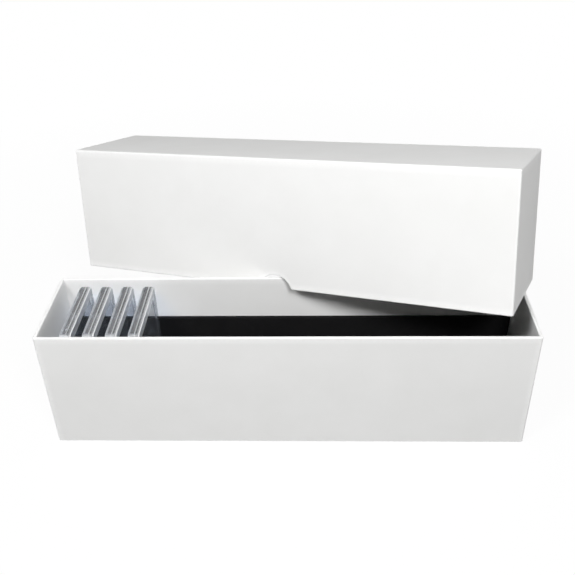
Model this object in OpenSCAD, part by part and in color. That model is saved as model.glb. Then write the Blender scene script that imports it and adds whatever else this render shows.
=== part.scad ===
// Coin slab storage box: a long wrapped board tray with foam pads, a full depth lift-off lid with
// thumb notches, and upright clear slabs. Millimetres, +Z up, front at -Y, length along X.
// The origin is the middle of the base's underside. The lid is shown taken off, with one notch
// hooked over the base's back rim and its right end across the base's right end wall.

/* [Board and paper] */
// Thickness of the board that the base and the lid are folded from
board_t = 1.9; // [1.2:0.1:3]
// Thickness of the white outer wrap
wrap_t = 0.25; // [0.15:0.05:0.5]
// Thickness of the white lining sheets
lining_t = 0.25; // [0.15:0.05:0.5]
// Gap between neighbouring lining sheets in a corner
lining_gap = 0.2; // [0.1:0.05:0.5]
// Thickness of the sheet under the base
bottom_sheet_t = 0.25; // [0.15:0.05:0.5]
// Thickness of the paper tape that holds each upright corner
stay_t = 0.15; // [0.1:0.05:0.3]
// Width of the corner tape on each side of its corner
stay_leg = 12; // [6:1:20]
// Radius of the wrapped edges
edge_r = 1.6; // [1:0.1:2.5]

/* [Slabs] */
// Height of a standing slab
slab_h = 85.7; // [70:0.1:110]
// Width of a slab, across the box
slab_w = 63.5; // [45:0.1:80]
// Thickness of a slab, along the box
slab_t = 8.4; // [6:0.1:11]
// Radius of the slab's corners
slab_corner_r = 4; // [2:0.1:6]
// Width of the raised frame round each slab face
slab_frame = 7; // [3:0.1:9]
// Depth of the slab's window below its raised frame
slab_window_in = 0.7; // [0.3:0.1:1.2]
// Height of the stepped outer edge of each shell
slab_step_h = 1.2; // [0.5:0.1:1.5]
// Width of the stepped outer edge of each shell
slab_step_w = 0.8; // [0.3:0.1:1.2]
// Thickness of the slab's side wall round its core
slab_side_t = 2.4; // [1.5:0.1:3]
// Thickness of the core that sits inside a slab
core_t = 4; // [2:0.1:4.4]
// Distance of the seam between the two shells from the slab's middle, towards its front
slab_seam_off = 0.8; // [0:0.1:1.2]
// Room all round the core
core_gap = 0.1; // [0.05:0.05:0.4]
// Diameter of the coin hole in the core
coin_hole_d = 38.5; // [16:0.5:42]
// Distance from one slab to the next along the row
slab_pitch = 16.2; // [12:0.1:24]
// Distance from the left inner wall to the middle of the first slab
first_slab_in = 17.7; // [8:0.1:40]

/* [Base] */
// Outside length of the base
base_l = 350; // [260:1:420]
// Thickness of the foam pads on the long walls
side_pad_t = 3.4; // [2:0.1:10]
// Height of the foam pads on the long walls
side_pad_h = 61.5; // [30:0.1:85]
// Thickness of the foam pad on the floor
floor_pad_t = 8.05; // [2:0.05:12]
// Gap between each pad's end and the end wall
pad_end_gap = 0.8; // [0.2:0.1:2]
// Room between a slab's edge and the side pad
slab_side_gap = 0.45; // [0.3:0.05:1]
// Height of the rim above the slabs
head_room = 2.6; // [1:0.1:12]
// Depth of the base's wrap on the inside, from the rim
base_turn_in = 40; // [25:1:60]

/* [Lid] */
// Room between the closed lid and each side of the base
lid_gap = 0.6; // [0.3:0.1:1.5]
// Strip of the base that shows under the closed lid
lid_reveal = 1.4; // [0:0.1:10]
// Depth of the lid's wrap on the inside, from its rim
lid_turn_in = 20; // [16:1:40]
// Radius of the thumb notch in each long side
notch_r = 14.5; // [11:0.5:20]
// Height of the thumb notch above the lid's rim
notch_depth = 10.4; // [9:0.1:11]

/* [Lid laid off] */
// Tilt of the lid, backwards as negative degrees
lid_tilt = -13.4; // [-20:0.1:-5]
// Distance along the lid's right end, from its front, to where it meets the end wall
lid_end_reach = 60.2; // [45:0.1:70]
// Distance from the middle of the back wall to where the lid meets the end wall
lid_rest_in = 16.3; // [10:0.1:30]
// Clearance where the lid's right end lies on the end wall
lid_rest_gap = 0.3; // [0.1:0.05:0.6]
// Clearance where the notch lies on the back wall
notch_rest_gap = 0.3; // [0.1:0.05:0.6]

/* [Hidden] */
round_fn = 48;
hole_fn = 96;
least_r = 0.5;
slab_count = 4;
// How far a cutter runs past the face it cuts
past = 1;

wall_t = wrap_t + board_t + lining_t;
skin_t = wrap_t + board_t;

floor_z = bottom_sheet_t + board_t;
slab_z = floor_z + floor_pad_t;
base_w = slab_w + 2 * (slab_side_gap + side_pad_t + wall_t);
base_h = slab_z + slab_h + head_room;
pad_l = base_l - 2 * (wall_t + pad_end_gap);
pad_y = base_w / 2 - wall_t - side_pad_t;
base_wall_h = base_h - wrap_t - floor_z;

lid_l = base_l + 2 * (lid_gap + wall_t);
lid_w = base_w + 2 * (lid_gap + wall_t);
lid_h = base_h + wall_t - lid_reveal;
lid_wall_top = lid_h - skin_t;
lid_tape_h = lid_h - wrap_t - max(edge_r, skin_t);

slab_half_t = slab_t / 2;
core_in = slab_side_t + core_gap;
pocket_half_t = core_t / 2 + core_gap;

// Plan distance and height from the notch's rest to the end wall's rest, in the lid's own frame
rest_x = lid_l / 2 - wall_t;
rest_y = lid_end_reach - wall_t / 2;
function rest_fall(drop) = sin(lid_tilt) * rest_y - cos(lid_tilt) * drop;
// Roll that lays the right end on the end wall's rim while the notch hangs by drop
function roll_at(drop) =
    let (fall = rest_fall(drop))
    atan2(fall, rest_x) - asin(lid_rest_gap / norm([rest_x, fall]));
// Plan vector from the notch's rest to the end wall's rest, before the lid is turned
function reach_at(drop) =
    let (roll = roll_at(drop))
    [cos(roll) * rest_x + sin(roll) * rest_fall(drop),
     cos(lid_tilt) * rest_y + sin(lid_tilt) * drop];
// Turn that puts the end wall's rest at its set distance from the back wall
function yaw_at(drop) =
    let (reach = reach_at(drop))
    -asin(lid_rest_in / norm(reach)) - atan2(reach[1], reach[0]);
// Half of the length over which the lid's front and the back wall cross in plan
function crossing_at(yaw) = wall_t * (1 + cos(yaw)) / (2 * sin(abs(yaw)));
// Depth of the notch, above the lid's rim, left over the whole crossing
function drop_at(first) =
    let (half = crossing_at(yaw_at(first)))
    notch_depth - notch_r + sqrt(notch_r * notch_r - half * half)
        - half * tan(abs(roll_at(first))) - notch_rest_gap;

lid_drop = drop_at(drop_at(notch_depth));
lid_roll = roll_at(lid_drop);
lid_yaw = yaw_at(lid_drop);
lid_reach = reach_at(lid_drop);
lid_x = base_l / 2 - cos(lid_yaw) * lid_reach[0] + sin(lid_yaw) * lid_reach[1];

SLAB_PIECES = ["front_shell", "rear_shell", "core"];

// Rectangle with round corners, centred
module round_rect(l, w, r) {
    square([l - 2 * r, w], center = true);
    square([l, w - 2 * r], center = true);
    for (x = [-1, 1], y = [-1, 1])
        translate([x * (l / 2 - r), y * (w / 2 - r)])
            circle(r = r, $fn = round_fn);
}

// Rectangle standing on the axis, with its two top corners round
module arch_rect(l, h, r) {
    translate([-l / 2, 0])
        square([l, h - r]);
    translate([r - l / 2, 0])
        square([l - 2 * r, h]);
    for (x = [-1, 1])
        translate([x * (l / 2 - r), h - r])
            circle(r = r, $fn = round_fn);
}

// Block with round upright edges
module upright_block(l, w, h, r) {
    linear_extrude(h)
        round_rect(l, w, r);
}

// Block with round upright edges and round top edges
module crowned_block(l, w, h, r) {
    intersection() {
        upright_block(l, w, h, r);
        rotate([90, 0, 0])
            linear_extrude(w + 2 * past, center = true)
                arch_rect(l, h, r);
        rotate([90, 0, 90])
            linear_extrude(l + 2 * past, center = true)
                arch_rect(w, h, r);
    }
}

// Plain block standing on z = 0, centred in plan
module room(l, w, h) {
    translate([-l / 2, -w / 2, 0])
        cube([l, w, h]);
}

// Four angle strips of corner tape round an upright block
module corner_tape(l, w, h) {
    block_r = edge_r - wrap_t;
    difference() {
        upright_block(l, w, h, block_r);
        translate([0, 0, -past])
            upright_block(l - 2 * stay_t, w - 2 * stay_t, h + 2 * past, block_r - stay_t);
        translate([0, 0, -past])
            room(l - 2 * stay_leg, w + 2 * past, h + 2 * past);
        translate([0, 0, -past])
            room(l + 2 * past, w - 2 * stay_leg, h + 2 * past);
    }
}

// Slots that the two long panels of an l by w box fill, from z = 0 to h
module long_panel_rooms(l, w, h) {
    for (y = [-1, 1])
        translate([0, y * (w / 2 - wrap_t - board_t / 2), 0])
            room(l, board_t, h);
}

// Slots that the two end panels fill, between the long ones
module end_panel_rooms(l, w, h) {
    for (x = [-1, 1])
        translate([x * (l / 2 - wrap_t - board_t / 2), 0, 0])
            room(board_t, w - 2 * skin_t, h);
}

// All panels of the base as one, with the corner tapes still filled in
module base_board_blank() {
    difference() {
        translate([0, 0, bottom_sheet_t])
            upright_block(base_l - 2 * wrap_t, base_w - 2 * wrap_t,
                          base_h - wrap_t - bottom_sheet_t, edge_r - wrap_t);
        translate([0, 0, floor_z])
            room(base_l - 2 * skin_t, base_w - 2 * skin_t, base_h);
    }
}

module base_corner_stays() {
    color("tan")
        translate([0, 0, floor_z])
            corner_tape(base_l - 2 * wrap_t, base_w - 2 * wrap_t, base_wall_h);
}

module base_floor_board() {
    color("darkgray")
        translate([0, 0, bottom_sheet_t])
            upright_block(base_l - 2 * wrap_t, base_w - 2 * wrap_t, board_t, edge_r - wrap_t);
}

module base_long_boards() {
    color("darkgray")
        difference() {
            intersection() {
                base_board_blank();
                translate([0, 0, floor_z])
                    long_panel_rooms(base_l, base_w, base_wall_h);
            }
            base_corner_stays();
        }
}

module base_end_boards() {
    color("darkgray")
        difference() {
            intersection() {
                base_board_blank();
                translate([0, 0, floor_z])
                    end_panel_rooms(base_l, base_w, base_wall_h);
            }
            base_corner_stays();
        }
}

// Outer sheet, rim and turn-in of the base
module base_wrap() {
    color("white")
        difference() {
            translate([0, 0, bottom_sheet_t])
                upright_block(base_l, base_w, base_h - bottom_sheet_t, edge_r);
            base_board_blank();
            translate([0, 0, floor_z])
                room(base_l - 2 * wall_t, base_w - 2 * wall_t, base_h);
            translate([0, 0, floor_z])
                room(base_l - 2 * skin_t, base_w - 2 * skin_t, base_h - base_turn_in - floor_z);
        }
}

module base_bottom_sheet() {
    color("white")
        upright_block(base_l, base_w, bottom_sheet_t, edge_r);
}

// Lining sheets below the turn-in: two long ones and two at the ends between them
module base_linings() {
    lining_h = base_h - base_turn_in - floor_z;
    color("whitesmoke")
        translate([0, 0, floor_z]) {
            for (y = [-1, 1])
                translate([0, y * (base_w / 2 - skin_t - lining_t / 2), 0])
                    room(base_l - 2 * skin_t, lining_t, lining_h);
            for (x = [-1, 1])
                translate([x * (base_l / 2 - skin_t - lining_t / 2), 0, 0])
                    room(lining_t, base_w - 2 * (wall_t + lining_gap), lining_h);
        }
}

// Foam pad on a long wall, on the front for side -1 and on the back for side 1
module side_pad(side) {
    translate([0, side * (pad_y + side_pad_t / 2), floor_z])
        room(pad_l, side_pad_t, side_pad_h);
}

module front_pad() {
    color("#0c0c0d")
        side_pad(-1);
}

module back_pad() {
    color("#0c0c0d")
        side_pad(1);
}

module floor_pad() {
    color("#0c0c0d")
        translate([0, 0, floor_z])
            room(pad_l, 2 * pad_y, floor_pad_t);
}

// Puts a piece from the lid's own frame, rim on z = 0, where the lid lies
module laid_off() {
    translate([lid_x, base_w / 2 - wall_t / 2, base_h])
        rotate([lid_tilt, lid_roll, lid_yaw])
            translate([0, lid_w / 2 - wall_t / 2, -lid_drop])
                children();
}

// Round cutter through both long sides, grown by grow for the board under the wrap
module notch_cutter(grow) {
    translate([0, 0, notch_depth - notch_r])
        rotate([90, 0, 0])
            cylinder(r = notch_r + grow, h = lid_w + 2 * past, center = true, $fn = hole_fn);
}

// All panels of the lid as one, with the corner tapes still filled in
module lid_board_blank() {
    difference() {
        translate([0, 0, wrap_t])
            crowned_block(lid_l - 2 * wrap_t, lid_w - 2 * wrap_t, lid_h - 2 * wrap_t,
                          edge_r - wrap_t);
        translate([0, 0, -past])
            room(lid_l - 2 * skin_t, lid_w - 2 * skin_t, lid_wall_top + past);
        notch_cutter(wrap_t);
    }
}

// Corner tapes of the lid, up to the top panel and short of its round edge
module lid_tape() {
    translate([0, 0, wrap_t])
        corner_tape(lid_l - 2 * wrap_t, lid_w - 2 * wrap_t, lid_tape_h);
}

module lid_corner_stays() {
    color("tan")
        laid_off()
            lid_tape();
}

module lid_top_board() {
    color("darkgray")
        laid_off()
            intersection() {
                lid_board_blank();
                translate([0, 0, lid_wall_top])
                    room(lid_l, lid_w, board_t);
            }
}

module lid_long_boards() {
    color("darkgray")
        laid_off()
            difference() {
                intersection() {
                    lid_board_blank();
                    long_panel_rooms(lid_l, lid_w, lid_wall_top);
                }
                lid_tape();
            }
}

module lid_end_boards() {
    color("darkgray")
        laid_off()
            difference() {
                intersection() {
                    lid_board_blank();
                    end_panel_rooms(lid_l, lid_w, lid_wall_top);
                }
                lid_tape();
            }
}

// Outer sheet, rim, notch edges and turn-in of the lid
module lid_wrap() {
    color("white")
        laid_off()
            difference() {
                crowned_block(lid_l, lid_w, lid_h, edge_r);
                lid_board_blank();
                translate([0, 0, -past])
                    room(lid_l - 2 * wall_t, lid_w - 2 * wall_t, lid_h - wall_t + past);
                translate([0, 0, lid_turn_in])
                    room(lid_l - 2 * skin_t, lid_w - 2 * skin_t, lid_wall_top - lid_turn_in);
                notch_cutter(0);
            }
}

// Lining of the lid's top and sides, down to the turn-in
module lid_lining() {
    color("whitesmoke")
        laid_off()
            difference() {
                translate([0, 0, lid_turn_in])
                    room(lid_l - 2 * skin_t, lid_w - 2 * skin_t, lid_wall_top - lid_turn_in);
                translate([0, 0, lid_turn_in - past])
                    room(lid_l - 2 * wall_t, lid_w - 2 * wall_t,
                         lid_h - wall_t - lid_turn_in + past);
            }
}

// Puts a piece from a slab's own frame, foot on z = 0, at place i of the row
module slab_place(i) {
    translate([first_slab_in + wall_t - base_l / 2 + (i - 1) * slab_pitch, 0, slab_z])
        children();
}

// Upright plate with a slab's outline drawn in by inset, from x0 to x1
module slab_plate(x0, x1, inset) {
    translate([x0, 0, slab_h / 2])
        rotate([90, 0, 90])
            linear_extrude(x1 - x0)
                round_rect(slab_w - 2 * inset, slab_h - 2 * inset, max(slab_corner_r - inset, least_r));
}

// One shell of a slab's case, on the +X side of the seam, which lies past the middle by seam
module slab_shell(seam) {
    face = slab_half_t - seam;
    difference() {
        union() {
            slab_plate(0, face - slab_step_h, 0);
            slab_plate(face - slab_step_h, face, slab_step_w);
        }
        slab_plate(face - slab_window_in, face + past, slab_frame);
        slab_plate(-past, pocket_half_t - seam, slab_side_t);
    }
}

// Puts a shell from the seam's frame at place i of the row
module at_seam(i) {
    slab_place(i)
        translate([slab_seam_off, 0, 0])
            children();
}

module slab_front_shell(i) {
    color([0.82, 0.85, 0.88, 0.4])
        at_seam(i)
            slab_shell(slab_seam_off);
}

module slab_rear_shell(i) {
    color([0.82, 0.85, 0.88, 0.4])
        at_seam(i)
            mirror([1, 0, 0])
                slab_shell(-slab_seam_off);
}

module slab_core(i) {
    color([0.9, 0.92, 0.94, 0.5])
        slab_place(i)
            difference() {
                slab_plate(-core_t / 2, core_t / 2, core_in);
                translate([0, 0, slab_h / 2])
                    rotate([0, 90, 0])
                        cylinder(d = coin_hole_d, h = core_t + 2 * past, center = true, $fn = hole_fn);
            }
}

base_floor_board();
base_long_boards();
base_end_boards();
base_corner_stays();
base_wrap();
base_bottom_sheet();
base_linings();
front_pad();
back_pad();
floor_pad();
lid_top_board();
lid_long_boards();
lid_end_boards();
lid_corner_stays();
lid_wrap();
lid_lining();
for (i = [1 : slab_count]) {
    slab_front_shell(i);
    slab_rear_shell(i);
    slab_core(i);
}
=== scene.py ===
"""Looks of the coin slab storage box: white wrapped board, black foam and clear slabs.

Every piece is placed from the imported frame. Sizes in the classes are millimetres, and meshes are metres.
"""

import logging
import math
from dataclasses import dataclass
from enum import Enum
from typing import Optional, Sequence, Union

import bmesh
import bpy
import numpy as np
from mathutils import Matrix, Vector


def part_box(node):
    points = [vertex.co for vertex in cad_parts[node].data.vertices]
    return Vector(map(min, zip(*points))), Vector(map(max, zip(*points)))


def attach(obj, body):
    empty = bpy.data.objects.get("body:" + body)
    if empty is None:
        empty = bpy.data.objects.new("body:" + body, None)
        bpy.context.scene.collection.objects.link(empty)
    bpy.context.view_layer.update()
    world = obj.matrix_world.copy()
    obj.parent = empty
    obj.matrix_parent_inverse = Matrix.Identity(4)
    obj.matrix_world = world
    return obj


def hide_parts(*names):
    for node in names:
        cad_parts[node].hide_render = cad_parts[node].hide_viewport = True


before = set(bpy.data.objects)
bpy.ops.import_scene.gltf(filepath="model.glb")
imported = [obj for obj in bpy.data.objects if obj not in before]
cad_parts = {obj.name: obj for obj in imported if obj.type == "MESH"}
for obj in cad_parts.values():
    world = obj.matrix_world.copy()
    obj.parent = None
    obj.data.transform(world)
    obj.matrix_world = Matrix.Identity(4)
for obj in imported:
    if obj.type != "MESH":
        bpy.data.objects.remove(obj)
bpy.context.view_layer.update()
LOG = logging.getLogger("slab_box")
MM = 0.001
INNER_SHARE = 0.98
END_SHARE = 0.998
WELD_REACH = 1e-7
Colour = tuple[float, float, float]


class Slot(Enum):
    """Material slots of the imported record."""

    WRAP = "white_wrap"
    LINING = "white_lining"
    BOARD = "greyboard"
    TAPE = "corner_tape"
    FOAM = "black_foam"
    SHELL = "clear_shell"
    CORE = "clear_core"


class Body(Enum):
    """Bodies that the box's own pieces ride on."""

    BASE = "base"
    LID = "lid"


class Face(Enum):
    """Which way a half of a slab's case faces along the box."""

    FRONT = 1
    REAR = -1


def rgba(colour: Colour) -> tuple[float, float, float, float]:
    """Colour with full alpha, as a shader socket takes it."""
    return (*colour, 1.0)


class NodeSheet:
    """The node tree of a material or a world, with short calls that add and link its nodes."""

    def __init__(self, owner: Union[bpy.types.Material, bpy.types.World]) -> None:
        """Empties the owner's tree and gives it an output and coordinates.

        Args:
            owner: the material, whose place is in Object coordinates, or the world, whose place is a way.
        """
        self.owner = owner
        owner.use_nodes = True
        self.tree = owner.node_tree
        self.tree.nodes.clear()
        is_world = isinstance(owner, bpy.types.World)
        self.output = self.add("OutputWorld" if is_world else "OutputMaterial")
        self.place = self.add("TexCoord").outputs["Generated" if is_world else "Object"]

    @classmethod
    def material(cls, name: str) -> "NodeSheet":
        """Sheet of a new material."""
        return cls(bpy.data.materials.new(name))

    def add(self, kind: str, inputs: Optional[dict] = None, **settings: object) -> bpy.types.Node:
        """Adds a shader node.

        Args:
            kind: node type without its ShaderNode prefix.
            inputs: value or linked socket for each named input.
            settings: the node's own options.

        Returns:
            The new node.
        """
        node = self.tree.nodes.new("ShaderNode" + kind)
        for key, value in settings.items():
            setattr(node, key, value)
        for key, value in (inputs or {}).items():
            if isinstance(value, bpy.types.NodeSocket):
                self.tree.links.new(value, node.inputs[key])
            else:
                node.inputs[key].default_value = value
        return node

    def noise(self, size: float, detail: float = 3.0, roughness: float = 0.55,
              stretch: Colour = (1.0, 1.0, 1.0)) -> bpy.types.NodeSocket:
        """Soft noise with features of a real size.

        Args:
            size: feature size in millimetres.
            detail: octaves of finer detail.
            roughness: strength of the finer octaves.
            stretch: how much denser the noise is along each axis.

        Returns:
            The noise value, about 0.3 to 0.7.
        """
        place = self.add("Mapping", {"Vector": self.place, "Scale": stretch}).outputs[0]
        values = {"Vector": place, "Scale": 1 / (size * MM), "Detail": detail, "Roughness": roughness}
        return self.add("TexNoise", values).outputs[0]

    def spread(self, value: bpy.types.NodeSocket, low: float, high: float,
               start: float = 0.3, end: float = 0.7) -> bpy.types.NodeSocket:
        """Maps a value from start..end to low..high, clamped."""
        values = {"Value": value, "From Min": start, "From Max": end, "To Min": low, "To Max": high}
        return self.add("MapRange", values).outputs[0]

    def join(self, operation: str, a: bpy.types.NodeSocket,
             b: bpy.types.NodeSocket) -> bpy.types.NodeSocket:
        """Two values joined by a Math operation, such as MULTIPLY or MAXIMUM."""
        node = self.add("Math", operation=operation)
        self.tree.links.new(a, node.inputs[0])
        self.tree.links.new(b, node.inputs[1])
        return node.outputs[0]

    def tint(self, share: bpy.types.NodeSocket, low: Union[Colour, bpy.types.NodeSocket],
             high: Colour) -> bpy.types.NodeSocket:
        """Colour between low and high by a share from 0 to 1."""
        node = self.add("Mix", data_type="RGBA")
        self.tree.links.new(share, node.inputs["Factor"])
        first, second = (s for s in node.inputs if s.name in "AB" and s.type == "RGBA")
        if isinstance(low, bpy.types.NodeSocket):
            self.tree.links.new(low, first)
        else:
            first.default_value = rgba(low)
        second.default_value = rgba(high)
        return next(s for s in node.outputs if s.type == "RGBA")

    def bump(self, height: bpy.types.NodeSocket, depth: float,
             under: Optional[bpy.types.NodeSocket] = None) -> bpy.types.NodeSocket:
        """Relief of a real depth in millimetres, over another relief if one is given."""
        inputs = {"Height": height, "Distance": depth * MM, "Strength": 1.0}
        if under is not None:
            inputs["Normal"] = under
        return self.add("Bump", inputs).outputs[0]

    def mix(self, share: Union[float, bpy.types.NodeSocket], first: bpy.types.Node,
            second: bpy.types.Node) -> bpy.types.Node:
        """Mix of two shaders by the second one's share."""
        node = self.add("MixShader", {"Fac": share})
        self.tree.links.new(first.outputs[0], node.inputs[1])
        self.tree.links.new(second.outputs[0], node.inputs[2])
        return node

    def finish(self, shader: bpy.types.Node) -> Union[bpy.types.Material, bpy.types.World]:
        """Links the shader to the output and gives back the material or the world."""
        self.tree.links.new(shader.outputs[0], self.output.inputs["Surface"])
        return self.owner


@dataclass(frozen=True)
class PaperFinish:
    """Coated paper: faint mottle, fine fibre, board grain showing through, and worn edges painted lighter
    as a highlight.
    """

    name: str
    light: Colour
    dark: Colour
    gloss: tuple[float, float]
    specular: float
    mottle_size: float = 38.0
    fibre_size: float = 0.45
    grain_size: float = 6.0
    fibre_depth: float = 0.006
    grain_depth: float = 0.02
    # Lighter than the paper: a painted highlight on the worn rims and edges.
    scuff_and_highlight: Colour = (0.97, 0.97, 0.965)
    scuff_and_highlight_size: float = 2.2
    rub: tuple[float, float] = (0.6, 1.0)

    def material(self) -> bpy.types.Material:
        """Builds the paper's node material."""
        sheet = NodeSheet.material(self.name)
        mottle = sheet.noise(self.mottle_size)
        fibre = sheet.noise(self.fibre_size, detail=4.0, roughness=0.7)
        grain = sheet.noise(self.grain_size, detail=2.0)
        clean = sheet.tint(sheet.spread(mottle, 0.0, 1.0), self.dark, self.light)
        wear_and_highlight = sheet.add("Attribute", attribute_name="wear_and_highlight", attribute_type="GEOMETRY").outputs["Fac"]
        rubbed = sheet.spread(sheet.noise(self.scuff_and_highlight_size, detail=4.0), *self.rub)
        worn_and_lit = sheet.join("MULTIPLY", wear_and_highlight, rubbed)
        relief = sheet.bump(fibre, self.fibre_depth, sheet.bump(grain, self.grain_depth))
        return sheet.finish(sheet.add("BsdfPrincipled", {
            # Painted highlight: worn rims and edges are mixed towards the lighter scuff colour.
            "Base Color": sheet.tint(worn_and_lit, clean, self.scuff_and_highlight),
            "Roughness": sheet.spread(fibre, *self.gloss),
            "Specular IOR Level": self.specular,
            "Normal": relief}))


@dataclass(frozen=True)
class BoardFinish:
    """Raw board or tape: pressed fibres with dark and pale flecks."""

    name: str
    light: Colour
    dark: Colour
    fleck: Colour
    fibre_size: float
    stretch: Colour = (1.0, 1.0, 1.0)
    fibre_depth: float = 0.03
    fleck_size: float = 1.1
    fleck_most: float = 0.8
    fleck_range: tuple[float, float] = (0.62, 0.72)
    roughness: float = 0.92

    def material(self) -> bpy.types.Material:
        """Builds the board's node material."""
        sheet = NodeSheet.material(self.name)
        fibre = sheet.noise(self.fibre_size, detail=5.0, roughness=0.7, stretch=self.stretch)
        base = sheet.tint(sheet.spread(fibre, 0.0, 1.0), self.dark, self.light)
        specks = sheet.noise(self.fleck_size, detail=2.0)
        flecks = sheet.spread(specks, 0.0, self.fleck_most, *self.fleck_range)
        return sheet.finish(sheet.add("BsdfPrincipled", {
            "Base Color": sheet.tint(flecks, base, self.fleck),
            "Roughness": self.roughness,
            "Normal": sheet.bump(fibre, self.fibre_depth)}))


@dataclass(frozen=True)
class FoamFinish:
    """Cut black foam: open cells, matt, slightly uneven in tone."""

    name: str = "black_foam"
    light: Colour = (0.006, 0.006, 0.0065)
    dark: Colour = (0.0015, 0.0015, 0.0018)
    cell_size: float = 0.7
    cell_depth: float = 0.16
    cell_tone: tuple[float, float] = (0.2, 1.0)
    cell_range: tuple[float, float] = (0.1, 0.7)
    tone_size: float = 14.0
    tone: tuple[float, float] = (0.6, 1.0)
    roughness: float = 0.95
    specular: float = 0.2

    def material(self) -> bpy.types.Material:
        """Builds the foam's node material."""
        sheet = NodeSheet.material(self.name)
        cells = sheet.add("TexVoronoi", {"Vector": sheet.place, "Scale": 1 / (self.cell_size * MM)})
        wall = cells.outputs["Distance"]
        tone = sheet.join("MULTIPLY", sheet.spread(wall, *self.cell_tone, *self.cell_range),
                          sheet.spread(sheet.noise(self.tone_size), *self.tone))
        return sheet.finish(sheet.add("BsdfPrincipled", {
            "Base Color": sheet.tint(tone, self.dark, self.light),
            "Roughness": self.roughness,
            "Specular IOR Level": self.specular,
            "Normal": sheet.bump(wall, self.cell_depth)}))


@dataclass(frozen=True)
class ClearFinish:
    """Clear moulded plastic with faint haze and whitish edges, partly wear and partly painted highlight.
    Lamps shine through it.
    """

    name: str
    # Colour of what is seen through; the slabs' tints are set darker as painted shade.
    tint: Colour
    shade: Colour
    haze: tuple[float, float]
    bend: float = 1.57
    face_clear: float = 0.96
    edge_tint: Colour = (0.92, 0.925, 0.93)
    edge_clear: float = 0.05
    edge_haze: float = 0.3
    face_shine: float = 0.5
    edge_shine: float = 0.1
    satin: float = 0.3
    haze_size: float = 9.0
    flow_size: float = 5.0
    flow_depth: float = 0.01

    def material(self) -> bpy.types.Material:
        """Builds the clear plastic's node material."""
        sheet = NodeSheet.material(self.name)
        haze = sheet.spread(sheet.noise(self.haze_size, detail=5.0, roughness=0.65), *self.haze)
        wear_and_highlight = sheet.add("Attribute", attribute_name="wear_and_highlight", attribute_type="GEOMETRY").outputs["Fac"]
        worn_and_lit = sheet.spread(wear_and_highlight, 0.0, 1.0, self.satin, 1.0)
        rubbed = sheet.spread(wear_and_highlight, 0.0, self.edge_haze, 0.0, self.satin)
        flow = sheet.noise(self.flow_size, detail=1.0)
        plastic = sheet.add("BsdfPrincipled", {
            # Painted highlight with the wear: edges turn whitish and less clear.
            "Base Color": sheet.tint(worn_and_lit, self.tint, self.edge_tint),
            "Roughness": sheet.join("MAXIMUM", haze, rubbed),
            "IOR": self.bend,
            "Specular IOR Level": sheet.spread(wear_and_highlight, self.face_shine, self.edge_shine, 0.0, self.satin),
            "Transmission Weight": sheet.spread(wear_and_highlight, self.face_clear, self.edge_clear, self.satin, 1.0),
            "Normal": sheet.bump(flow, self.flow_depth)})
        clear = sheet.add("BsdfTransparent", {"Color": rgba(self.shade)})
        return sheet.finish(sheet.mix(sheet.add("LightPath").outputs["Is Shadow Ray"], plastic, clear))


@dataclass(frozen=True)
class Finishes:
    """The finished material of every slot."""

    made: dict[Slot, bpy.types.Material]

    @classmethod
    def all(cls) -> "Finishes":
        """Builds one material for each slot."""
        return cls({
            Slot.WRAP: PaperFinish("white_wrap", (0.88, 0.88, 0.872), (0.855, 0.855, 0.845),
                                   gloss=(0.42, 0.56), specular=0.12).material(),
            Slot.LINING: PaperFinish("white_lining", (0.86, 0.86, 0.85), (0.83, 0.83, 0.82),
                                     gloss=(0.45, 0.60), specular=0.15).material(),
            Slot.BOARD: BoardFinish("greyboard", (0.45, 0.43, 0.40), (0.34, 0.32, 0.30),
                                    (0.20, 0.19, 0.18), fibre_size=0.5).material(),
            Slot.TAPE: BoardFinish("corner_tape", (0.62, 0.49, 0.34), (0.50, 0.38, 0.25),
                                   (0.40, 0.29, 0.18), fibre_size=0.8,
                                   stretch=(1.0, 1.0, 0.15)).material(),
            Slot.FOAM: FoamFinish().material(),
            # The shell and core tints are far darker than clear plastic: painted shade for the shadowed
            # wall seen through the slabs.
            Slot.SHELL: ClearFinish("clear_shell", (0.64, 0.655, 0.68), (0.88, 0.90, 0.93),
                                    haze=(0.015, 0.06)).material(),
            Slot.CORE: ClearFinish("clear_core", (0.62, 0.635, 0.66), (0.86, 0.88, 0.92),
                                   haze=(0.03, 0.07), bend=1.5, face_clear=1.0).material(),
        })

    def dress(self, obj: bpy.types.Object, slot: Slot) -> None:
        """Gives an object a slot's material on all its faces."""
        obj.data.materials.clear()
        obj.data.materials.append(self.made[slot])

    def dress_nodes(self, slot: Slot, *nodes: str) -> None:
        """Gives CAD nodes, which keep their shape, a slot's material."""
        for node in nodes:
            self.dress(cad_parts[node], slot)


@dataclass(frozen=True)
class Place:
    """A local frame: an origin and three unit axes, in millimetres of the part's frame."""

    origin: np.ndarray
    axes: np.ndarray

    def points(self, local: np.ndarray) -> np.ndarray:
        """Local points, last axis of length three, in the part's frame."""
        return self.origin + local @ self.axes


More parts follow.
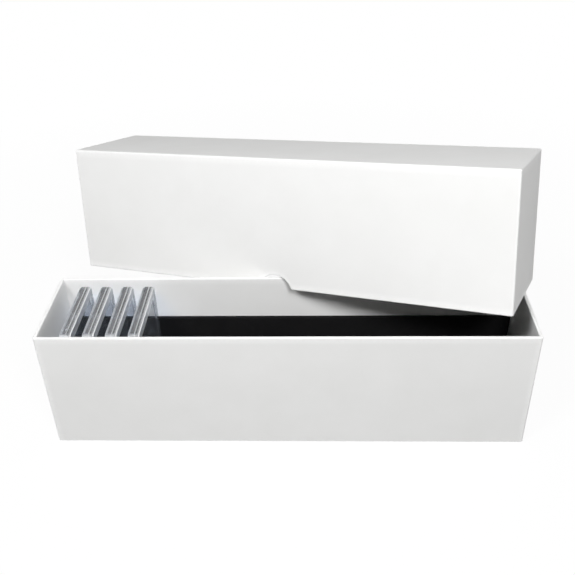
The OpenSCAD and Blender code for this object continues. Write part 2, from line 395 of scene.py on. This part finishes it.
@dataclass(frozen=True)
class Outline:
    """A rounded rectangle as a closed walk.

    A point is a centre on the rectangle of corner centres, at shares -1 to 1 of its half sides, plus the
    corner radius in the direction of its angle. Straight sides keep one angle and move the centre.
    """

    share_u: np.ndarray
    share_v: np.ndarray
    angle: np.ndarray

    @classmethod
    def walked(cls, along_u: np.ndarray, along_v: np.ndarray, corner_steps: int = 6) -> "Outline":
        """Walks the outline once, counter-clockwise from the first corner.

        Args:
            along_u: rising shares of the points on the two sides along u, without their ends.
            along_v: the same for the sides along v.
            corner_steps: steps in each quarter turn.

        Returns:
            The outline.
        """
        turn = np.linspace(0.0, math.pi / 2, corner_steps + 1)
        runs = []
        for k, (su, sv) in enumerate(((1, 1), (-1, 1), (-1, -1), (1, -1))):
            runs.append((np.full_like(turn, su), np.full_like(turn, sv), turn + k * math.pi / 2))
            side = along_u if k % 2 == 0 else along_v
            step = side if k in (2, 3) else side[::-1]
            still = np.full_like(step, sv if k % 2 == 0 else su)
            angle = np.full_like(step, (k + 1) * math.pi / 2)
            runs.append((step, still, angle) if k % 2 == 0 else (still, step, angle))
        return cls(*(np.concatenate(part) for part in zip(*runs)))

    def rings(self, half_u: float, half_v: float, radius: float, inset: np.ndarray,
              least: float = 0.25) -> tuple[np.ndarray, np.ndarray]:
        """One ring for each inset: both half sizes and the corner radius shrink by the inset.

        Args:
            half_u: half size along u before the inset.
            half_v: half size along v before the inset.
            radius: corner radius before the inset.
            inset: distance of each ring from the outline.
            least: corner radius that is kept when the inset passes the corner's own radius.

        Returns:
            u and v of the points, one row for each inset.
        """
        hu, hv = half_u - inset, half_v - inset
        r = np.minimum(np.maximum(radius - inset, least), np.minimum(hu, hv))
        u = np.outer(hu - r, self.share_u) + np.outer(r, np.cos(self.angle))
        v = np.outer(hv - r, self.share_v) + np.outer(r, np.sin(self.angle))
        return u, v


def shares(count: int) -> np.ndarray:
    """Even shares between -1 and 1 with one more close to each end, so that flat sides stay flat."""
    return np.concatenate(([-END_SHARE], np.linspace(-INNER_SHARE, INNER_SHARE, count), [END_SHARE]))


def profile(corners: Sequence[tuple[float, float, float]], closed: bool, step: float = 5.0,
            arc_steps: int = 6, guard: float = 0.15, least_run: float = 0.6) -> np.ndarray:
    """Polyline with its corners rounded.

    Each corner of radius r turns by the angle t: the arc starts r tan(t / 2) before the corner and ends
    as far after it. Straight runs get a point close to each arc and others a step apart.

    Args:
        corners: inset, height and radius of each corner.
        closed: whether the last corner joins the first.
        step: longest straight step.
        arc_steps: steps in an arc.
        guard: distance of the first point of a straight run from its arc.
        least_run: length up to which a straight run gets no points of its own.

    Returns:
        Rows of inset and height.
    """
    at = np.array([c[:2] for c in corners], float)
    pieces = []
    for i, (_, _, radius) in enumerate(corners):
        is_end = not closed and i in (0, len(corners) - 1)
        if radius <= 0.0 or is_end:
            pieces.append(at[i][None])
            continue
        before, after = at[i] - at[i - 1], at[(i + 1) % len(at)] - at[i]
        before, after = before / np.linalg.norm(before), after / np.linalg.norm(after)
        turn = math.atan2(before[0] * after[1] - before[1] * after[0], before @ after)
        reach = radius * math.tan(abs(turn) / 2)
        swing = np.linspace(0.0, turn, arc_steps + 1)
        normal = np.array([-before[1], before[0]]) * math.copysign(1.0, turn)
        centre = at[i] - before * reach + normal * radius
        pieces.append(centre - radius * (np.outer(np.cos(swing), normal)
                                         - np.outer(np.sin(np.abs(swing)), before)))
    runs = []
    for i, piece in enumerate(pieces):
        runs.append(piece)
        if i + 1 < len(pieces) or closed:
            start, end = piece[-1], pieces[(i + 1) % len(pieces)][0]
            length = np.linalg.norm(end - start)
            if length > least_run:
                inner = np.linspace(guard, length - guard, max(2, math.ceil(length / step) + 1))
                runs.append(start + np.outer(inner / length, end - start))
    return np.concatenate(runs)


def closed_mesh(name: str, points: np.ndarray, ring_profile: bool,
                wear_and_highlight: Optional[np.ndarray] = None, sharp: float = 40.0) -> bpy.types.Object:
    """Closed smooth object from a grid of points whose columns go once round.

    Neighbouring grid points make quads. The faces are turned so that the enclosed volume is positive, and
    rows that close to a line or a point are merged.

    Args:
        name: name of the piece.
        points: rows by columns by three, in millimetres.
        ring_profile: whether the last row joins the first.
        wear_and_highlight: how worn each point is, and how strong a highlight is painted on it, rows by
            columns, from 0 to 1.
        sharp: angle in degrees past which an edge is drawn sharp.

    Returns:
        The object, at the origin.
    """
    rows, columns = points.shape[:2]
    index = np.arange(rows * columns).reshape(rows, columns)
    if ring_profile:
        index = np.vstack((index, index[:1]))
    index = np.hstack((index, index[:, :1]))
    quads = np.stack((index[:-1, :-1], index[:-1, 1:], index[1:, 1:], index[1:, :-1]), -1).reshape(-1, 4)
    flat = points.reshape(-1, 3) * MM
    a, b, c, d = (flat[quads[:, k]] - flat.mean(0) for k in range(4))
    if np.sum(a * (np.cross(b, c) + np.cross(c, d))) < 0:
        quads = quads[:, ::-1]
    mesh = bpy.data.meshes.new(name)
    mesh.from_pydata(flat.tolist(), [], quads.tolist())
    values = np.zeros(len(flat)) if wear_and_highlight is None else wear_and_highlight.ravel()
    # One attribute holds both the wear and the painted highlight.
    scuffs_and_highlights = mesh.attributes.new("wear_and_highlight", "FLOAT", "POINT")
    scuffs_and_highlights.data.foreach_set("value", values.astype(np.float32))
    welded = bmesh.new()
    welded.from_mesh(mesh)
    bmesh.ops.remove_doubles(welded, verts=welded.verts, dist=WELD_REACH)
    welded.to_mesh(mesh)
    welded.free()
    mesh.polygons.foreach_set("use_smooth", np.ones(len(mesh.polygons), bool))
    mesh.set_sharp_from_angle(angle=math.radians(sharp))
    obj = bpy.data.objects.new(name, mesh)
    bpy.context.scene.collection.objects.link(obj)
    return obj


def node_box(node: str) -> tuple[np.ndarray, np.ndarray]:
    """Lowest and highest corner of a CAD node, in millimetres."""
    low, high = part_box(node)
    return np.array(low) / MM, np.array(high) / MM


def hand_over(obj: bpy.types.Object, body: str, node: str) -> None:
    """Rides a piece on a body and lets it stand for a CAD node."""
    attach(obj, body)
    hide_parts(node)
    LOG.info("%s rides on %s for %s, %d faces", obj.name, body, node, len(obj.data.polygons))


@dataclass
class WrappedWall:
    """Build-up of a wrapped board wall, shared by the base and the lid."""

    wrap: float = 0.25
    board: float = 1.9
    lining: float = 0.25
    glue: float = 0.02
    edge_radius: float = 1.4
    rim_radius: float = 0.8
    fold_radius: float = 0.06
    wear_and_highlight_reach: float = 3.0

    @property
    def whole(self) -> float:
        """Thickness from the outer face to the inner one."""
        return self.wrap + self.board + self.lining

    @property
    def under(self) -> float:
        """Inset of the wrap's hidden side on the outside of the board."""
        return self.wrap - self.glue

    @property
    def behind(self) -> float:
        """Inset of the turn-in's hidden side on the inside of the board."""
        return self.wrap + self.board + self.glue

    def wear_and_highlight(self, distance: np.ndarray) -> np.ndarray:
        """Wear and painted highlight that fade with the distance from an edge, in millimetres."""
        return np.exp(-np.square(distance / self.wear_and_highlight_reach))


@dataclass
class Tray:
    """The open base: its white wrap as a new surface, the rest as CAD nodes."""

    wall: WrappedWall
    turn_in: float = 40.0
    side_points: int = 24
    end_points: int = 8

    def build(self) -> bpy.types.Object:
        """Carries the wrap's section, outer face, rim and turn-in, round the base's outline.

        Returns:
            The base's wrap.
        """
        low, high = node_box("base_wrap")
        half, top, foot = (high - low) / 2, high[2], low[2]
        wall = self.wall
        section = profile((
            (0.0, foot, 0.0),
            (0.0, top, wall.rim_radius),
            (wall.whole, top, wall.rim_radius),
            (wall.whole, top - self.turn_in, wall.fold_radius),
            (wall.behind, top - self.turn_in, 0.0),
            (wall.behind, top - wall.wrap + wall.glue, 0.0),
            (wall.under, top - wall.wrap + wall.glue, 0.0),
            (wall.under, foot, 0.0)), closed=True)
        outline = Outline.walked(shares(self.side_points), shares(self.end_points))
        u, v = outline.rings(half[0], half[1], wall.edge_radius, section[:, 0])
        height = np.broadcast_to(section[:, 1:], u.shape)
        corner = np.hypot(half[0] - np.abs(u), half[1] - np.abs(v))
        # Painted highlight with the wear: the rim and the upright corners are made lighter.
        wear_and_highlight = np.maximum(wall.wear_and_highlight(top - height), wall.wear_and_highlight(corner))
        obj = closed_mesh("base_wrap_paper", np.stack((u, v, height), -1), True, wear_and_highlight)
        hand_over(obj, Body.BASE.value, "base_wrap")
        return obj

    def dress(self, obj: bpy.types.Object, finishes: Finishes) -> None:
        """Finishes the wrap and the base's CAD nodes."""
        finishes.dress(obj, Slot.WRAP)
        finishes.dress_nodes(Slot.WRAP, "base_bottom_sheet")
        finishes.dress_nodes(Slot.LINING, "base_linings")
        finishes.dress_nodes(Slot.BOARD, "base_floor_board", "base_long_boards", "base_end_boards")
        finishes.dress_nodes(Slot.TAPE, "base_corner_stays")


@dataclass
class Lid:
    """The lift-off lid, laid off across the base: its wrap as a new surface, the rest as CAD nodes.

    The wear and painted highlight fade faster over the top face by crown_bias and beside the upright edges
    by upright_bias.
    """

    wall: WrappedWall
    turn_in: float = 20.0
    notch_radius: float = 14.5
    notch_depth: float = 10.4
    notch_fade: float = 30.0
    crown_bias: float = 6.0
    upright_bias: float = 3.0
    notch_points: int = 33
    notch_clear: float = 1.04
    side_points: int = 14
    end_points: int = 8

    @staticmethod
    def place() -> tuple[Place, np.ndarray]:
        """Finds the lid's own axes and size in the frame.

        The lining has flat faces only, so the face normals nearest to the part's axes are the lid's axes.
        The wrap's extent along them gives the size. The local origin is the middle of the rim's plane.

        Returns:
            The lid's place and its length, width and height.
        """
        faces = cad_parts["lid_lining"].data.polygons
        normals = np.empty(len(faces) * 3)
        faces.foreach_get("normal", normals)
        normals = normals.reshape(-1, 3)
        axes = normals[np.argmax(normals, 0)]
        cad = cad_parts["lid_wrap"].data.vertices
        points = np.empty(len(cad) * 3)
        cad.foreach_get("co", points)
        along = points.reshape(-1, 3) @ axes.T / MM
        low, high = along.min(0), along.max(0)
        middle = (low + high) / 2
        middle[2] = low[2]
        return Place(middle @ axes, axes), high - low

    def notch(self, u: np.ndarray) -> np.ndarray:
        """Height of the thumb notch above the rim: a circle's arc where it stands over the rim, else 0."""
        arc = np.sqrt(np.maximum(self.notch_radius ** 2 - u ** 2, 0.0))
        return np.maximum(arc - (self.notch_radius - self.notch_depth), 0.0)

    def walk(self, half_length: float) -> Outline:
        """The lid's outline, with points spread evenly in angle over the notch's arc."""
        reach = math.acos(1 - self.notch_depth / self.notch_radius)
        straight = half_length - self.wall.edge_radius
        over = self.notch_radius * np.sin(np.linspace(-reach, reach, self.notch_points)) / straight
        start = over[-1] * self.notch_clear
        beside = np.concatenate((np.linspace(start, INNER_SHARE, self.side_points), [END_SHARE]))
        return Outline.walked(np.concatenate((-beside[::-1], over, beside)), shares(self.end_points))

    def build(self) -> bpy.types.Object:
        """Carries the wrap's section, top, side, rim and turn-in, round the lid's outline.

        The top closes to a line along its middle. Over the notch every ring is lifted by the notch's
        height, fully at the rim and not at all where the notch fades out.

        Returns:
            The lid's wrap.
        """
        place, size = self.place()
        half, top = size / 2, size[2]
        wall = self.wall
        section = profile((
            (half[1], top, 0.0),
            (0.0, top, wall.edge_radius),
            (0.0, 0.0, wall.rim_radius),
            (wall.whole, 0.0, wall.rim_radius),
            (wall.whole, self.turn_in, wall.fold_radius),
            (wall.behind, self.turn_in, 0.0),
            (wall.behind, wall.under, 0.0),
            (wall.under, wall.under, 0.0),
            (wall.under, top - wall.under, wall.edge_radius - wall.under),
            (half[1], top - wall.under, 0.0)), closed=False)
        u, v = self.walk(half[0]).rings(half[0], half[1], wall.edge_radius, section[:, 0])
        inset, height = section[:, :1], section[:, 1:]
        fade = np.where(inset < wall.whole / 2, self.notch_fade, self.turn_in)
        w = height + self.notch(u) * np.clip(1 - height / fade, 0.0, 1.0)
        from_end, from_side = half[0] - np.abs(u), half[1] - np.abs(v)
        upright = self.upright_bias * np.hypot(from_end, from_side)
        crown = np.hypot(self.crown_bias * np.minimum(from_end, from_side), top - w)
        rim = w - self.notch(u)
        # Painted highlight with the wear along the rim, the upright edges and the top's edges.
        wear_and_highlight = wall.wear_and_highlight(np.minimum(np.minimum(upright, rim), crown))
        obj = closed_mesh("lid_wrap_paper", place.points(np.stack((u, v, w), -1)), False, wear_and_highlight)
        hand_over(obj, Body.LID.value, "lid_wrap")
        return obj

    def dress(self, obj: bpy.types.Object, finishes: Finishes) -> None:
        """Finishes the wrap and the lid's CAD nodes."""
        finishes.dress(obj, Slot.WRAP)
        finishes.dress_nodes(Slot.LINING, "lid_lining")
        finishes.dress_nodes(Slot.BOARD, "lid_top_board", "lid_long_boards", "lid_end_boards")
        finishes.dress_nodes(Slot.TAPE, "lid_corner_stays")


@dataclass
class FoamPad:
    """One foam pad: a soft-edged sheet with a slightly uneven cut face."""

    node: str
    thickness_axis: int
    edge_radius: float = 0.9
    corner_radius: float = 1.2
    swell: float = 0.12
    wave: tuple[float, float] = (41.0, 23.0)
    dip_reach: float = 3.6
    side_points: int = 60
    end_points: int = 14
    fill: float = 1.0

    def build(self) -> bpy.types.Object:
        """Carries a rounded sheet edge round the pad's outline and closes both faces to a middle line.

        The faces dip by at most the swell, as a product of two sines along the sheet.

        Returns:
            The pad.
        """
        low, high = node_box(self.node)
        flat_axes = [k for k in range(3) if k != self.thickness_axis]
        half = (high - low)[flat_axes] / 2
        deep = (high - low)[self.thickness_axis] / 2
        section = profile((
            (half[1], deep, 0.0),
            (0.0, deep, self.edge_radius),
            (0.0, -deep, self.edge_radius),
            (half[1], -deep, 0.0)), closed=False)
        outline = Outline.walked(shares(self.side_points), shares(self.end_points))
        u, v = outline.rings(half[0], half[1], self.corner_radius, section[:, 0])
        ripple = np.sin(u / self.wave[0] * math.tau) * np.sin(v / self.wave[1] * math.tau)
        dip = self.swell * (1 + ripple) / 2
        inside = np.clip(section[:, :1] / self.dip_reach, 0.0, 1.0)
        w = section[:, 1:] - np.sign(section[:, 1:]) * dip * inside
        axes = np.eye(3)[[*flat_axes, self.thickness_axis]]
        place = Place((low + high) / 2, axes)
        obj = closed_mesh(self.node + "_foam", place.points(np.stack((u, v, w), -1)), False)
        hand_over(obj, Body.BASE.value, self.node)
        return obj


@dataclass
class FoamLining:
    """The three foam pads inside the base."""

    def build(self) -> list[bpy.types.Object]:
        """Builds the pads on the front wall, the back wall and the floor."""
        pads = (FoamPad("front_pad", 1), FoamPad("back_pad", 1), FoamPad("floor_pad", 2))
        return [pad.build() for pad in pads]

    def dress(self, pads: Sequence[bpy.types.Object], finishes: Finishes) -> None:
        """Finishes each pad as foam."""
        for pad in pads:
            finishes.dress(pad, Slot.FOAM)


@dataclass
class Slab:
    """One clear slab: two moulded shells as new surfaces, its core as a CAD node."""

    number: int
    corner_radius: float = 4.0
    frame_width: float = 7.0
    window_depth: float = 0.7
    step_width: float = 0.8
    step_height: float = 1.2
    side: float = 2.4
    seam: float = 0.04
    core_room: float = 0.06
    round_over: float = 0.45
    seam_radius: float = 0.3
    fine_radius: float = 0.12
    # Strengths of the whitish lines, partly wear and partly painted highlight; the front's line is painted
    # stronger than the rear's.
    front_wear_and_highlight: float = 0.75
    front_line: float = 0.45
    rear_wear_and_highlight: float = 0.15
    seam_wear_and_highlight: float = 0.36
    inner_wear_and_highlight: float = 1.1
    inner_line: float = 0.6
    rim_wear: float = 0.23
    end_wear: float = 0.3
    frame_wear_and_highlight: float = 0.36
    low_wear_and_top_light: float = 0.15
    wear_and_top_light_fade: tuple[float, float] = (0.7, 0.85)
    end_fade: tuple[float, float] = (0.86, 0.94)
    row_step: float = 0.6
    side_points: int = 8
    end_points: int = 10
    corner_steps: int = 9

    @property
    def name(self) -> str:
        """Body and name prefix of this slab."""
        return f"slab_{self.number}"

    def section(self, half_width: float, half_depth: float, pocket: float) -> np.ndarray:
        """Section of a shell, from the window's middle over frame and step to the seam and the pocket."""
        window = half_depth - self.window_depth
        step = half_depth - self.step_height
        return profile((
            (half_width, window, 0.0),
            (self.frame_width, window, self.fine_radius),
            (self.frame_width, half_depth, self.round_over),
            (self.step_width, half_depth, self.round_over),
            (self.step_width, step, self.fine_radius),
            (0.0, step, self.round_over),
            (0.0, self.seam, self.seam_radius),
            (self.side, self.seam, self.fine_radius),
            (self.side, pocket, self.fine_radius),
            (half_width, pocket, 0.0)), closed=False, step=self.row_step)

    def wear_and_highlight(self, section: np.ndarray, half_depth: float, face: Face, across: np.ndarray,
             height: np.ndarray) -> np.ndarray:
        """Whitish wear and painted highlight, which fade with the distance from the shell's edges and, as
        painted light from above, with the distance from the slab's top.

        Args:
            section: rows of inset and depth.
            half_depth: depth of the shell.
            face: which half the shell is; the front one gets the strongest painted highlight.
            across: place of each point across the slab, from -1 to 1, rows by columns.
            height: height of each point over the slab's middle, from -1 to 1, rows by columns.

        Returns:
            The wear and painted highlight of each point, rows by columns.
        """
        edges = np.array((
            (self.step_width, half_depth - self.front_line,
             self.front_wear_and_highlight if face is Face.FRONT else self.rear_wear_and_highlight),
            (0.0, half_depth - self.step_height, self.seam_wear_and_highlight),
            (0.0, self.seam, self.seam_wear_and_highlight),
            (self.frame_width - self.inner_line, half_depth, self.inner_wear_and_highlight)))
        away = np.linalg.norm(section[:, None] - edges[None, :, :2], axis=-1)
        lines = np.exp(-np.square(away / edges[:, 2])).max(1)
        on_frame = section[:, 1] > half_depth - self.round_over
        on_rim = section[:, 0] <= self.step_width
        ends = np.interp(np.abs(across), self.end_fade, (self.rim_wear, self.end_wear))
        base = np.where(on_frame, self.frame_wear_and_highlight, 0.0)[:, None] + (on_rim & ~on_frame)[:, None] * ends
        # Painted light from above: the whitish marks are strongest near the slab's top and weaker lower
        # down.
        rubbed = np.interp(height, self.wear_and_top_light_fade, (self.low_wear_and_top_light, 1.0))
        return np.maximum(lines[:, None], base) * rubbed

    def build(self) -> list[bpy.types.Object]:
        """Carries the shell's section round the slab's outline, once for each half.

        Returns:
            The front and rear shells.
        """
        core_low, core_high = node_box(f"{self.name}_core")
        shells = []
        for face in Face:
            node = f"{self.name}_{face.name.lower()}_shell"
            low, high = node_box(node)
            half, deep = (high - low) / 2, high[0] - low[0]
            seam = low[0] if face is Face.FRONT else high[0]
            core_face = core_high[0] if face is Face.FRONT else core_low[0]
            section = self.section(half[1], deep, abs(core_face - seam) + self.core_room)
            outline = Outline.walked(shares(self.side_points), shares(self.end_points), self.corner_steps)
            u, v = outline.rings(half[1], half[2], self.corner_radius, section[:, 0])
            w = np.broadcast_to(section[:, 1:], u.shape) * face.value
            middle = (low + high) / 2
            middle[0] = seam
            place = Place(middle, np.eye(3)[[1, 2, 0]])
            wear_and_highlight = self.wear_and_highlight(section, deep, face, u / half[1], v / half[2])
            obj = closed_mesh(node + "_clear", place.points(np.stack((u, v, w), -1)), False, wear_and_highlight)
            hand_over(obj, self.name, node)
            shells.append(obj)
        return shells

    def dress(self, shells: Sequence[bpy.types.Object], finishes: Finishes) -> None:
        """Finishes the shells and the core."""
        for shell in shells:
            finishes.dress(shell, Slot.SHELL)
        finishes.dress_nodes(Slot.CORE, f"{self.name}_core")


@dataclass(frozen=True)
class SoftLamp:
    """A square soft lamp on a sphere round the object, in degrees and millimetres.

    Azimuth 0 is in front of the box and grows to the right, and elevation is the angle above the floor.
    """

    name: str
    azimuth: float
    elevation: float
    watts: float
    side: float = 300.0
    distance: float = 1250.0
    target: tuple[float, float, float] = (0.0, 40.0, 90.0)

    def build(self) -> None:
        """Adds the lamp to the scene, pointing at its target."""
        turn, rise = math.radians(self.azimuth), math.radians(self.elevation)
        away = Vector((math.sin(turn) * math.cos(rise), -math.cos(turn) * math.cos(rise), math.sin(rise)))
        lamp = bpy.data.lights.new(self.name, "AREA")
        lamp.shape, lamp.size, lamp.energy = "SQUARE", self.side * MM, self.watts
        obj = bpy.data.objects.new(self.name, lamp)
        obj.location = (Vector(self.target) + away * self.distance) * MM
        obj.rotation_mode, obj.rotation_quaternion = "QUATERNION", away.to_track_quat("Z", "Y")
        bpy.context.scene.collection.objects.link(obj)


@dataclass(frozen=True)
class Studio:
    """White floor and surround, lamps and the camera at the photograph's viewpoint."""

    image_width: float = 575.0
    sensor: float = 36.0
    focal_pixels: float = 769.279
    eye: tuple[float, float, float] = (22.49, -451.33, 423.66)
    turn: float = 2.692
    pitch: float = 34.383
    roll: float = 1.767
    side_light: float = 0.28
    top_light: float = 0.01
    light_rise: tuple[float, float] = (0.05, 0.5)
    back_gain: float = 2.2
    floor_half: float = 4000.0
    floor_drop: float = 0.2
    floor_colour: Colour = (0.35, 0.35, 0.35)
    shadow_share: float = 0.05
    shadow_reach: tuple[float, float] = (250.0, 700.0)
    lamps: tuple[SoftLamp, ...] = (
        SoftLamp("left_lamp", -40.0, 50.0, 8.3),
        SoftLamp("right_lamp", 20.0, 46.0, 9.3),
    )

    def camera(self) -> None:
        """Adds the camera: turned about Z, pitched down, then rolled about its own line of sight."""
        data = bpy.data.cameras.new("photo_camera")
        data.sensor_width = self.sensor
        data.lens = self.focal_pixels * self.sensor / self.image_width
        obj = bpy.data.objects.new("photo_camera", data)
        turns = ((self.turn, "Z"), (-self.pitch, "X"), (self.roll, "Y"), (90.0, "X"))
        matrix = Matrix.Translation(Vector(self.eye) * MM)
        for degrees, axis in turns:
            matrix = matrix @ Matrix.Rotation(math.radians(degrees), 4, axis)
        obj.matrix_world = matrix
        bpy.context.scene.collection.objects.link(obj)
        bpy.context.scene.camera = obj

    @staticmethod
    def seen(sheet: NodeSheet) -> bpy.types.NodeSocket:
        """Value of 1 for rays that show the background: camera, glossy and transmission rays."""
        path = sheet.add("LightPath").outputs
        total = path["Is Camera Ray"]
        for name in ("Is Glossy Ray", "Is Transmission Ray"):
            total = sheet.join("MAXIMUM", total, path[name])
        return total

    def softness(self, sheet: NodeSheet) -> bpy.types.NodeSocket:
        """Strength of the world's light: low round the sides, most behind the box, least from above."""
        way = sheet.add("SeparateXYZ", {"Vector": sheet.place})
        side = sheet.spread(way.outputs["Z"], self.side_light, self.top_light, *self.light_rise)
        behind = sheet.spread(way.outputs["Y"], 1.0, 1.0 + self.back_gain, 0.0, 1.0)
        return sheet.join("MULTIPLY", side, behind)

    def world(self) -> None:
        """Sets a world that shows white and lights softly from all round."""
        sheet = NodeSheet(bpy.data.worlds.new("studio"))
        white = rgba((1.0, 1.0, 1.0))
        shown = sheet.add("Background", {"Color": white, "Strength": 1.0})
        soft = sheet.add("Background", {"Color": white, "Strength": self.softness(sheet)})
        bpy.context.scene.world = sheet.finish(sheet.mix(self.seen(sheet), soft, shown))

    def floor(self) -> None:
        """Adds a pale floor that shows white, with the object's shadow faintly on it."""
        sheet = NodeSheet.material("studio_floor")
        pale = sheet.add("BsdfDiffuse", {"Color": rgba(self.floor_colour)})
        shaded = sheet.add("BsdfDiffuse", {"Color": rgba((1.0, 1.0, 1.0))})
        white = sheet.add("Emission", {"Color": rgba((1.0, 1.0, 1.0)), "Strength": 1.0})
        away = sheet.add("VectorMath", {0: sheet.place}, operation="LENGTH").outputs["Value"]
        share = sheet.spread(away, self.shadow_share, 0.0, *(reach * MM for reach in self.shadow_reach))
        shown = sheet.mix(share, white, shaded)
        mix = sheet.mix(self.seen(sheet), pale, shown)
        mesh = bpy.data.meshes.new("floor")
        half, down = self.floor_half * MM, -self.floor_drop * MM
        ends = np.array(((-1, -1), (1, -1), (1, 1), (-1, 1))) * half
        mesh.from_pydata(np.column_stack((ends, np.full(4, down))).tolist(), [], [(0, 1, 2, 3)])
        mesh.materials.append(sheet.finish(mix))
        obj = bpy.data.objects.new("floor", mesh)
        bpy.context.scene.collection.objects.link(obj)

    def build(self) -> None:
        """Builds camera, surround, floor and lamps."""
        bpy.context.scene.view_settings.view_transform = "Standard"
        self.camera()
        self.world()
        self.floor()
        for lamp in self.lamps:
            lamp.build()


def main() -> None:
    """Builds the studio, then each sub-assembly in order, and dresses it."""
    logging.basicConfig(level=logging.INFO, format="%(name)s: %(message)s")
    Studio().build()
    finishes = Finishes.all()
    wall = WrappedWall()
    slab_count = sum(name.endswith("_core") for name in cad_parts)
    parts = [Tray(wall), Lid(wall), FoamLining()] + [Slab(n + 1) for n in range(slab_count)]
    for part in parts:
        part.dress(part.build(), finishes)
        LOG.info("%s dressed", type(part).__name__)


if __name__ == "__main__":
    main()
